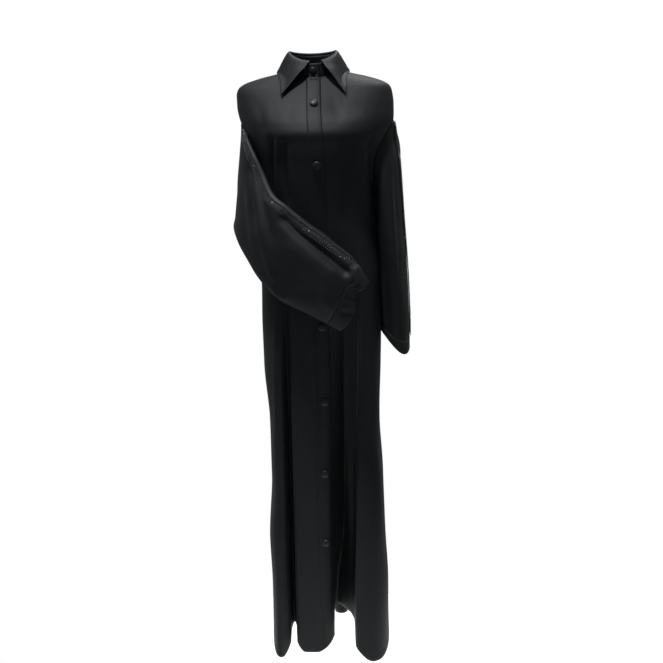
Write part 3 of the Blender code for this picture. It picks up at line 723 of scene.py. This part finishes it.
def collarLeaf():
    edgeOf = [curveThrough([(row[0], row[k]) for row in collarForm["leafEdge"]]) for k in (1, 2, 3)]
    first = math.radians(collarForm["leafEdge"][0][0])
    start = math.radians(collarForm["leafLeftStart"])
    share = np.linspace(0, 1, collarForm["steps"])
    turn = start + (math.tau - first - start) * share
    edgeTurn = first + (math.tau - 2 * first) * share
    angle = np.degrees(np.minimum(edgeTurn, math.tau - edgeTurn))
    side = np.where(edgeTurn > math.pi, -1.0, 1.0)
    edge = np.stack((side * edgeOf[0](angle), edgeOf[1](angle), edgeOf[2](angle)), axis=-1)
    top = standPoint(turn, np.ones_like(turn), np.zeros_like(turn))
    outward = unit(top * (1.0, 1.0, 0.0))
    up = np.array((0.0, 0.0, 1.0))
    fall = top + outward * collarForm["fallStart"]
    rows = [top + outward * out + up * lift for out, lift in collarForm["rise"]]
    out, lift, down = collarForm["turn"]
    rows.append((top + outward * out + up * lift) * (1 - down) + edge * down)
    for down in np.linspace(collarForm["fallFirst"], 1.0, collarForm["fallRows"]):
        point = fall * (1 - down) + edge * down
        # the leaf stands a little proud before it falls, as a pressed collar does
        point[..., 2] += collarForm["bow"] * math.sin(math.pi * min(down, 1.0)) * (1 - down)
        lowest = shoulderHeight(point[..., 0], point[..., 1]) + collarForm["clear"]
        laid = smooth((down - collarForm["layFrom"]) / collarForm["layOver"])
        point[..., 2] = np.maximum(point[..., 2], lowest * laid + point[..., 2] * (1 - laid))
        near = collarForm["proudShare"]
        proud = smooth((near - np.minimum(share, 1 - share)) / near)
        proud = proud * smooth(down / collarForm["proudOver"])
        point = point + proud[:, None] * np.array(collarForm["proud"])
        rows.append(point)
    return np.stack(rows)


standGrid = collarStand()
leafGrid = collarLeaf()
crepePiece("collarStandCloth", standGrid, False, "collar_stand")
leafCut, leafWall = collarForm["leafCut"], collarForm["leafWall"]
crepePiece("collarLeafCloth", leafGrid, False, "collar", leafWall)
print("collar made")

# Sleeves, cuffs and trims

# the stations are in millimetres: top line, under line, how far the cloth stands off on its face
# and its hidden side, lead; the creases, in front and behind, are written as the body's are
sleeveForms = {
    "right": {
        "cuts": {
            "sleeve": (0.556, 0.597, 0.223), "cuff": (0.397, 0.042, 0.0107),
            "trim": (0.020, 0.435, 0.0055),
        },
        "side": -1, "turn": 2.0, "cuffShare": 0.45, "gap": 0.012, "rows": 130, "cuffRows": 12,
        "stations": (
            (-153, -80, -159, -160, 78, -290, 28, 4, 0),
            (-126, -120, -213, -172, 70, -335, 40, 4, 0),
            (-96, -158, -275, -179, 48, -365, 50, 4, 0),
            (-65, -178, -301, -190, 6, -378, 50, 4, 0),
            (-36, -187, -324, -180, -36, -403, 54, 4, 0),
            (-11, -192, -344, -159, -74, -441, 54, 4, 0),
            (20, -197, -366, -132, -110, -484, 52, 4, 0),
            (44, -201, -388, -85, -150, -524, 44, 6, 6),
            (65, -205, -405, -20, -182, -553, 38, 8, 12),
            (87, -208, -424, 47, -205, -587, 34, 12, 0),
        ),
        "front": (
            (-6, 8, 10, 0.2, 0.3, ((-150, -190), (-150, -250), (-146, -310), (-140, -372))),
            (6, 10, 12, 0.2, 0.2, (
                (-158, -215), (-142, -300), (-124, -375), (-108, -440), (-100, -490),
            )),
            (-6, 8, 12, 0.2, 0.25, ((-138, -200), (-128, -270), (-112, -340), (-98, -400))),
            (-5, 10, 8, 0.25, 0.3, ((-176, -245), (-172, -310), (-164, -380), (-150, -425))),
            (-12, 12, 10, 0.12, 0.06, (
                (-84, -308), (-52, -346), (-22, -372), (6, -394), (42, -424), (66, -443),
                (76, -452),
            )),
            (2.2, 14, 14, 0.3, 0.35, ((-84, -372), (-52, -398), (-20, -420), (12, -440))),
            (-3.5, 12, 12, 0.4, 0.4, ((-66, -430), (-52, -465), (-36, -500))),
            (5, 10, 12, 0.4, 0.4, ((-112, -480), (-90, -506), (-62, -522))),
            (-4, 12, 14, 0.4, 0.4, ((34, -436), (50, -470), (52, -515))),
            (3.5, 12, 12, 0.4, 0.4, ((0, -470), (16, -510), (22, -545))),
            (7, 5, 16, 0.12, 0.1, ((79, -432), (85, -458), (96, -488))),
            (-2.2, 4, 4, 0.4, 0.2, ((52, -500), (68, -506), (90, -508))),
            (-2.2, 4, 4, 0.4, 0.2, ((40, -532), (58, -540), (84, -542))),
            (2, 4, 4, 0.4, 0.2, ((46, -518), (64, -524), (88, -526))),
        ),
        "back": (
            (-4, 10, 12, 0.3, 0.3, ((-186, -220), (-182, -290), (-176, -350))),
            (3.5, 10, 12, 0.3, 0.3, ((-168, -210), (-166, -280), (-160, -330))),
        ),
    },
    "left": {
        "cuts": {
            "sleeve": (0.562, 0.522, 0.169), "cuff": (0.417, 0.031, 0.0095),
            "trim": (0.024, 0.519, 0.0120),
        },
        "side": 1, "turn": 0.0, "cuffShare": 0.25, "gap": 0.001, "rows": 110, "cuffRows": 8,
        "stations": (
            (196, 0, -160, 151, 0, -335, 86, 76, 0),
            (202, -4, -215, 147.5, -4, -375, 90, 80, 0),
            (208, -10, -320, 147.5, -10, -440, 92, 80, 0),
            (215, -16, -440, 148.5, -16, -505, 92, 78, 0),
            (219.5, -20, -550, 149, -20, -560, 90, 78, 5),
            (221, -20, -672, 148.5, -20, -625, 90, 78, 14),
        ),
        "front": (
            (-4, 8, 10, 0.25, 0.35, ((186, -200), (190, -330), (194, -470), (196, -580))),
            (3.5, 8, 10, 0.3, 0.35, ((174, -240), (178, -380), (182, -520))),
            (-3, 8, 8, 0.3, 0.3, ((206, -300), (208, -430), (210, -600))),
        ),
        "back": (
            (-4, 10, 10, 0.25, 0.35, ((182, -220), (188, -340), (190, -480), (194, -570))),
            (3.5, 10, 10, 0.3, 0.35, ((198, -250), (202, -400), (206, -540))),
        ),
    },
}
# z and x of the right cuff's edge, seen from the front
mouthEdge = curveThrough((
    (-0.424, 0.087), (-0.450, 0.105), (-0.475, 0.1175), (-0.484, 0.100), (-0.491, 0.0885),
    (-0.509, 0.0835), (-0.5235, 0.0845), (-0.547, 0.076), (-0.5725, 0.0615), (-0.587, 0.047),
))
trimForm = {
    "start": 0.06, "share": 0.60, "lines": 7, "firstRow": 3, "wall": 0.0012,
    "step": 0.0019, "edgeStep": 0.0030,
    "beadShares": (0.72, 0.91, 1.10, 1.29), "beadRows": (4, -2), "beadStep": 0.0008,
}
sleeveWaves = {"deep": 0.0014, "size": 0.09, "seed": 11, "startRows": 12}
sleeveColumns = 96
ringColumns = 16
# how the rows crowd towards the armhole, and the rings over which the gap to the body opens
rowPower = 1.2
gapRings = 2.0


def armholeLoop(side, columns, turn):
    # the sleeve's first ring: the armhole's edge, moved out by the cloth and the seam
    psi = math.tau * (columns - turn) / ringColumns
    z = armMiddle + armHalf * np.cos(psi)
    towardsBack = np.sin(psi) * (1 if side < 0 else -1) > 0
    loop = np.zeros((len(columns), 3))
    for half, pick in (("back", towardsBack), ("front", ~towardsBack)):
        zs = z[pick]
        reach = form["armhole" + half.capitalize()] * np.abs(np.sin(psi[pick]))
        deep = reachOut[half](zs)
        angle = np.arccos(np.clip(reach / deep, -1, 1))
        point = bodyPoint(side, half, angle, zs)
        near = form["probe"]
        above = bodyPoint(side, half, angle, zs + near)
        below = bodyPoint(side, half, angle, zs - near)
        ahead = bodyPoint(side, half, angle - near / deep, zs)
        normal = unit(np.cross(above - below, ahead - point))
        normal *= np.sign(normal[:, :1] * side)
        loop[pick] = point + normal * (form["cloth"] + form["seamGap"])
    return loop


def splineRings(rings, t):
    # a smooth curve through the rings, read at t
    last = len(rings) - 1
    i = min(int(t), last - 1)
    b, c = rings[i], rings[i + 1]
    a = rings[i - 1] if i > 0 else 2 * b - c
    d = rings[i + 2] if i + 2 <= last else 2 * c - b
    return bendThrough(a, b, c, d, t - i)


def sleeveGrids(shape):
    side = shape["side"]
    columns = np.arange(sleeveColumns) * ringColumns / sleeveColumns
    phi = math.tau * columns / ringColumns
    rings = [armholeLoop(side, columns, shape["turn"])]
    rows = np.array(shape["stations"]) / 1000
    tops, unders = rows[:, :3], rows[:, 3:6]
    centres = (tops + unders) / 2
    for i in range(len(rows)):
        along = centres[min(i + 1, len(rows) - 1)] - centres[max(i - 1, 0)]
        along = along / np.linalg.norm(along)
        halfChord = (tops[i] - unders[i]) / 2
        outward = np.cross(along, halfChord)
        outward = outward / np.linalg.norm(outward)
        # the face looks forward, and the bent sleeve's looks out to the side above the elbow
        if outward[1] > 0 or (side < 0 and outward[0] > 0.5):
            outward = -outward
        standOff = np.where(np.sin(phi) > 0, rows[i, 6], rows[i, 7])
        lead = rows[i, 8] * np.clip(np.sin(phi), 0, None) ** 2 * (1 + np.cos(phi))
        ring = centres[i] + halfChord * np.cos(phi)[:, None]
        ring = ring + outward * (standOff * np.sin(phi))[:, None] + along * lead[:, None]
        if side < 0 and i == len(rows) - 1:
            ring[:, 0] = np.where(np.sin(phi) > 1e-6, mouthEdge(ring[:, 2]), ring[:, 0])
        rings.append(ring)
    rings = np.array(rings)
    last = len(rings) - 1.0
    cuffStart = last - shape["cuffShare"]
    step = form["cloth"] + form["seamGap"]

    def ringAt(t):
        ring = splineRings(rings, t)
        if t == 0:
            return ring
        return clearOfBody(ring, step + (shape["gap"] - step) * float(smooth(t / gapRings)))

    shares = np.arange(shape["rows"] + 1) / shape["rows"]
    body = np.stack([ringAt(cuffStart * share ** rowPower) for share in shares.tolist()])
    cuff = np.stack([ringAt(t) for t in np.linspace(cuffStart, last, shape["cuffRows"] + 1)])
    return body, cuff


def pressSleeve(grid, shape):
    # lays the creases on a sleeve, from nothing at the armhole
    normal = roundNormals(grid)
    push = creasePush(grid, normal, shape["front"], (0.0, -1.0, 0.0))
    push = push + creasePush(grid, normal, shape["back"], (0.0, 1.0, 0.0))
    push = push + sleeveWaves["deep"] * unevenness(grid, sleeveWaves["size"], sleeveWaves["seed"])
    fade = smooth(np.arange(len(grid)) / sleeveWaves["startRows"])[:, None]
    return grid + normal * (push * fade)[..., None]


def topLine(grid, normal, share, step):
    # a line down the sleeve, a share of a ring column round from its top, and its way out
    at = share * sleeveColumns / ringColumns
    return columnAt(grid, at) + unit(columnAt(normal, at)) * step


sleeveParts = {}
for word, shape in sleeveForms.items():
    body, cuff = sleeveGrids(shape)
    pressed = pressSleeve(np.concatenate((body, cuff[1:])), shape)
    sleeveRows = pressed[:len(body)].copy()
    cuffRows = pressed[len(body) - 1:]
    title = word.capitalize() + "Cloth"
    sleeveNode, cuffNode, trimNode = (kind + "_" + word for kind in ("sleeve", "cuff", "trim"))
    crepePiece("sleeve" + title, sleeveRows, True, sleeveNode)
    crepePiece("cuff" + title, cuffRows, True, cuffNode)

    # the trim lies along the top line, on the face
    normal = roundNormals(sleeveRows)
    lines = []
    steps = trimForm["edgeStep"] - trimForm["step"]
    for across in np.linspace(0.0, 1.0, trimForm["lines"]):
        share = trimForm["start"] + (trimForm["share"] - trimForm["start"]) * across
        rounded = max(math.sin(math.pi * across), 0.0) ** 0.5
        lines.append(topLine(sleeveRows, normal, share, trimForm["step"] + steps * rounded))
    strip = np.stack(lines, axis=1)[trimForm["firstRow"]:]
    wall = trimForm["wall"]
    # the trim's lighter satin colour is painted highlight on its upward face
    clothPiece("trim" + title, strip, False, trimNode, satinPaintedHighlight, wall)

    middle = int(trimForm["share"] * sleeveColumns / ringColumns / 2)
    sleeveParts[word] = {
        "cuff": cuffRows,
        "cuffNormals": roundNormals(cuffRows),
        "trim": strip,
        "trimNormals": normal[trimForm["firstRow"]:, middle],
        "beads": [
            topLine(sleeveRows, normal, share, trimForm["beadStep"])[slice(*trimForm["beadRows"])]
            for share in trimForm["beadShares"]
        ],
    }
print("sleeves, cuffs and trims made")

# Buttons: a dome of satin drawn over a mould, its edge turned under

buttonForm = {
    "outline": (
        (0.0, 1.0), (0.16, 0.992), (0.32, 0.965), (0.48, 0.92), (0.63, 0.85), (0.76, 0.755),
        (0.86, 0.645), (0.93, 0.52), (0.975, 0.39), (0.985, 0.27), (0.96, 0.16), (0.92, 0.08),
        (0.88, 0.0), (0.0, 0.0),
    ),
    "height": 0.0056, "around": 40, "radius": 0.010, "standRadius": 0.008,
    "draw": 0.012, "draws": 9, "drawTurn": 900, "drawFrom": 0.5, "drawOver": 0.4,
    "lift": 0.0007, "standLift": 0.0009,
    "first": -0.075, "second": -0.211, "pitch": 0.190, "lower": 6,
}


def buttonPiece(name, centre, normal, radius, node):
    # the outline is turned about the button's middle; a few shallow draws run in from the rim
    build = bmesh.new()
    turn = Vector(normal).to_track_quat("Z", "Y").to_matrix()
    around = buttonForm["around"]
    rings = []
    for out, up in buttonForm["outline"]:
        rise = up * buttonForm["height"]
        ring = []
        for k in range(around if out else 1):
            a = math.tau * k / around
            draw = math.sin(buttonForm["draws"] * a + radius * buttonForm["drawTurn"])
            rim = float(smooth((out - buttonForm["drawFrom"]) / buttonForm["drawOver"]))
            reach = radius * out * (1 + buttonForm["draw"] * draw * rim)
            place = turn @ Vector((reach * math.cos(a), reach * math.sin(a), rise))
            ring.append(build.verts.new(Vector(centre) + place))
        rings.append(ring)
    for upper, lower in zip(rings, rings[1:]):
        for k in range(around):
            n = (k + 1) % around
            order = ((upper, k), (lower, k), (lower, n), (upper, n))
            corners = [ring[i % len(ring)] for ring, i in order]
            build.faces.new(list(dict.fromkeys(corners)))
    piece = newObject(name, smoothMesh(name, build, buttonCloth))
    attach(piece, "root")
    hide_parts(node)


middle = band.shape[1] // 2
bandHeights = band[:, middle, 2]
lowerHeights = buttonForm["second"] - buttonForm["pitch"] * np.arange(buttonForm["lower"])
buttonHeights = [buttonForm["first"], *lowerHeights]
for number, z in enumerate(buttonHeights, start=1):
    row = int(np.argmin(np.abs(bandHeights - z)))
    slope = band[row - 2, middle] - band[row + 2, middle]
    normal = np.cross((1.0, 0.0, 0.0), slope / np.linalg.norm(slope))
    place = np.array([np.interp(-z, -bandHeights, band[:, middle, k]) for k in range(3)])
    place = place + normal * buttonForm["lift"]
    buttonPiece(f"buttonCovered{number}", place, normal, buttonForm["radius"], f"button_{number}")
standFront = standPoint(np.array([0.0]), np.array([0.5]), np.array([0.0]))[0]
facing = np.array((0.0, -1.0, 0.0))
place = standFront + facing * buttonForm["standLift"]
buttonPiece("buttonCoveredStand", place, facing, buttonForm["standRadius"], "button_stand")
print("buttons made")

# Stitches and beads: one shape repeated along lines

stitchForm = {
    "lift": 0.0007, "leafLift": 0.0008, "beadLift": 0.0012,
    "hemRows": 2.2, "leafRows": 2.4, "leafColumns": 2.6, "cuffRows": (1.0, 2.2),
    # the first point of each line that is kept, and the first at its end that isn't
    "runs": {"band": (2, -1), "front": (5, -1), "back": (1, -1), "leaf": (3, -3), "leafEnd": (5, -1)},
    "rows": {"spacing": 0.0031, "size": (0.00125, 0.00042, 0.00042), "uneven": 0.16, "seed": 4},
    "beads": {"spacing": 0.0056, "size": (0.0015, 0.0014, 0.0014), "uneven": 0.7, "seed": 9},
    # pale beads for painted glints along one bead row
    "paintedGlints": {"spacing": 0.1020, "size": (0.0019, 0.0019, 0.0018), "uneven": 0.5, "seed": 12},
}


def repeatTree(material):
    tree = bpy.data.node_groups.new("repeatAlongLines", "GeometryNodeTree")
    face = tree.interface
    face.new_socket("Lines", in_out="INPUT", socket_type="NodeSocketGeometry")
    sockets = {"Spacing": "Float", "Size": "Vector", "Uneven": "Float", "Seed": "Int"}
    for title, kind in sockets.items():
        face.new_socket(title, in_out="INPUT", socket_type="NodeSocket" + kind)
    face.new_socket("Geometry", in_out="OUTPUT", socket_type="NodeSocketGeometry")
    given = addNode(tree, "NodeGroupInput").outputs
    curve = addNode(tree, "GeometryNodeMeshToCurve", None, {"Mesh": given["Lines"]})
    spaced = {"Curve": curve, "Length": given["Spacing"]}
    even = addNode(tree, "GeometryNodeResampleCurve", {"mode": "LENGTH"}, spaced)
    way = addNode(tree, "GeometryNodeInputTangent")
    turn = addNode(tree, "FunctionNodeAlignRotationToVector", {"axis": "X"}, {"Vector": way})
    shape = addNode(tree, "GeometryNodeMeshUVSphere", {"Segments": 8, "Rings": 5, "Radius": 1.0})
    seeded = {"Seed": given["Seed"]}
    chance = addNode(tree, "FunctionNodeRandomValue", {"data_type": "FLOAT"}, seeded).outputs[1]
    centred = addNode(tree, "ShaderNodeMath", {"operation": "SUBTRACT", 1: 0.5}, {0: chance})
    around = {"operation": "MULTIPLY_ADD", 2: 1.0}
    change = addNode(tree, "ShaderNodeMath", around, {0: centred, 1: given["Uneven"]})
    wanted = {0: given["Size"], "Scale": change}
    sized = addNode(tree, "ShaderNodeVectorMath", {"operation": "SCALE"}, wanted)
    laid = {"Points": even, "Instance": shape, "Rotation": turn, "Scale": sized}
    placed = addNode(tree, "GeometryNodeInstanceOnPoints", None, laid)
    real = addNode(tree, "GeometryNodeRealizeInstances", None, {"Geometry": placed})
    soft = addNode(tree, "GeometryNodeSetShadeSmooth", None, {"Geometry": real})
    coloured = addNode(tree, "GeometryNodeSetMaterial", {"Material": material}, {"Geometry": soft})
    addNode(tree, "NodeGroupOutput", None, {"Geometry": coloured})
    return tree


def repeatPiece(name, lines, look, material):
    # grows one shape along lines and keeps the result as one mesh
    points = np.concatenate(lines)
    edges = []
    start = 0
    for line in lines:
        edges += [(start + k, start + k + 1) for k in range(len(line) - 1)]
        start += len(line)
    mesh = bpy.data.meshes.new(name + "Lines")
    mesh.from_pydata(points.tolist(), edges, [])
    lineObject = newObject(name + "Lines", mesh)
    tree = repeatTree(material)
    growth = lineObject.modifiers.new("repeat", "NODES")
    growth.node_group = tree
    for item in tree.interface.items_tree:
        if item.in_out == "INPUT" and item.name.lower() in look:
            growth[item.identifier] = look[item.name.lower()]
    real = grownMesh(lineObject)
    if not real.materials:
        real.materials.append(material)
    piece = newObject(name, real)
    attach(piece, "root")
    print(name, len(real.polygons), "faces")


def betweenColumns(grid, normals, at, lift):
    return columnAt(grid, at) + columnAt(normals, at) * lift


def betweenRows(grid, normals, at, lift, closed):
    line = betweenColumns(np.swapaxes(grid, 0, 1), np.swapaxes(normals, 0, 1), at, lift)
    return np.concatenate((line, line[:1])) if closed else line


# seams of the band, the hems, the leaf, the cuffs and the trims
seamLines = []
lift, leafLift = stitchForm["lift"], stitchForm["leafLift"]
runs = {part: slice(*ends) for part, ends in stitchForm["runs"].items()}
across = form["columnsInBand"] * placketBand["stitchIn"] / form["bandHalf"]
for at in (across, band.shape[1] - 1 - across):
    seamLines.append(betweenColumns(band, bandNormals, at, lift)[runs["band"]])
for grid, normals, run in (
    (fronts[-1], frontNormals[-1], runs["front"]), (fronts[1], frontNormals[1], runs["front"]),
    (back, backNormals, runs["back"]),
):
    hem = len(grid) - 1 - stitchForm["hemRows"]
    seamLines.append(betweenRows(grid, normals, hem, lift, False)[run])
leafNormals = gridNormals(leafGrid, False, np.array(collarForm["normalsFrom"]))
low = len(leafGrid) - stitchForm["leafRows"]
seamLines.append(betweenRows(leafGrid, leafNormals, low, leafLift, False)[runs["leaf"]])
for at in (stitchForm["leafColumns"], leafGrid.shape[1] - 1 - stitchForm["leafColumns"]):
    seamLines.append(betweenColumns(leafGrid, leafNormals, at, leafLift)[runs["leafEnd"]])
for parts in sleeveParts.values():
    for at in stitchForm["cuffRows"]:
        seamLines.append(betweenRows(parts["cuff"], parts["cuffNormals"], at, lift, True))
    seamLines.append(parts["trim"][:, 1] + parts["trimNormals"] * leafLift)
repeatPiece("stitchRows", seamLines, stitchForm["rows"], thread)
beadLines = []
for parts in sleeveParts.values():
    beadLines.append(parts["trim"][:, -1] + parts["trimNormals"] * stitchForm["beadLift"])
beadLines += sleeveParts["right"]["beads"]
# the bead rows' mid-grey colour is painted glint, so that they show as light specks
repeatPiece("beadRows", beadLines, stitchForm["beads"], jetPaintedGlint)
# painted glints: pale beads along one bead row stand for points of light on the black beads
paintedGlintLines = [sleeveParts["right"]["beads"][1]]
repeatPiece("paintedGlintBeads", paintedGlintLines, stitchForm["paintedGlints"], paintedGlintSequin)

# The small crumpled loop of cord where the band meets the stand

loopForm = {
    "radius": 0.0008,
    "path": (
        (-0.006, -0.0605, -0.0120), (-0.009, -0.0630, -0.0165), (-0.005, -0.0650, -0.0190),
        (0.000, -0.0650, -0.0170), (0.004, -0.0665, -0.0195), (0.008, -0.0655, -0.0185),
        (0.0105, -0.0640, -0.0145), (0.007, -0.0615, -0.0120),
    ),
}
bend = bpy.data.curves.new("cordLoop", "CURVE")
bend.dimensions = "3D"
bend.bevel_depth = loopForm["radius"]
bend.bevel_resolution = 3
bend.use_fill_caps = True
wire = bend.splines.new("NURBS")
wire.points.add(len(loopForm["path"]) - 1)
for point, place in zip(wire.points, loopForm["path"]):
    point.co = (*place, 1.0)
wire.order_u = 4
wire.use_endpoint_u = True
loopMesh = grownMesh(newObject("cordLoopBend", bend))
loopMesh.materials.clear()
loopMesh.materials.append(cordSatin)
cordLoop = newObject("cordLoop", loopMesh)
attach(cordLoop, "root")
print("stitches, beads and loop made")

# Floor, light and camera

studio = {
    "floorHeight": -1.85, "floorReach": 0.95, "floorSides": 96, "floorColour": "#f4f4f2",
    "airColour": "#ffffff", "airForLight": 0.15, "airForEye": 1.0, "lampPlace": (0.0, 0.0, 3.0),
    # name, how high in degrees, how far round from the front towards the left, strength, angle
    "suns": (
        ("keySun", 77.5, -34.0, 2.8, 6.0),
        ("sideSun", 52.0, -96.0, 0.5, 20.0),
        ("backSun", 52.0, 158.0, 1.6, 12.0),
    ),
}


def makeStudio():
    mesh = bpy.data.meshes.new("floor")
    turns = np.linspace(0.0, math.tau, studio["floorSides"] + 1)[:-1]
    reach = studio["floorReach"]
    rim = [(reach * math.cos(a), reach * math.sin(a), studio["floorHeight"]) for a in turns]
    mesh.from_pydata(rim, [], [tuple(range(len(rim)))])
    floor = newObject("floor", mesh)
    mesh.materials.append(plainMaterial("matPaintedFloor", studio["floorColour"], 0.9))
    for name, high, around, strength, angle in studio["suns"]:
        light = bpy.data.lights.new(name, "SUN")
        light.energy = strength
        light.angle = math.radians(angle)
        lamp = newObject(name, light)
        up, turn = math.radians(high), math.radians(around)
        lamp.location = studio["lampPlace"]
        way = Vector((-math.cos(up) * math.sin(turn), math.cos(up) * math.cos(turn), -math.sin(up)))
        lamp.rotation_euler = way.to_track_quat("-Z", "Y").to_euler()
    world = bpy.data.worlds.new("studioAir")
    bpy.context.scene.world = world
    world.use_nodes = True
    tree = world.node_tree
    air = tree.nodes["Background"]
    air.inputs["Color"].default_value = hexColour(studio["airColour"])
    path = addNode(tree, "ShaderNodeLightPath")
    ends = {"To Min": studio["airForLight"], "To Max": studio["airForEye"]}
    strength = addNode(tree, "ShaderNodeMapRange", ends, {"Value": path.outputs["Is Camera Ray"]})
    tree.links.new(strength.outputs["Result"], air.inputs["Strength"])
    bpy.context.scene.view_settings.view_transform = "Standard"


cameraPlace = {
    "place": (0.0276, -2.6, 0.0), "pitch": 13.8, "roll": 1.44,
    "focal": 1068.0, "frame": 663.0, "sensor": 36.0,
}


def makeCamera():
    camera = bpy.data.cameras.new("photoCamera")
    camera.sensor_width = cameraPlace["sensor"]
    camera.lens = cameraPlace["focal"] / cameraPlace["frame"] * cameraPlace["sensor"]
    holder = newObject("photoCamera", camera)
    turn = Matrix.Rotation(math.radians(90.0 - cameraPlace["pitch"]), 4, "X")
    roll = Matrix.Rotation(math.radians(-cameraPlace["roll"]), 4, "Z")
    holder.matrix_world = Matrix.Translation(cameraPlace["place"]) @ turn @ roll
    bpy.context.scene.camera = holder


makeStudio()
makeCamera()
print("studio and camera made")
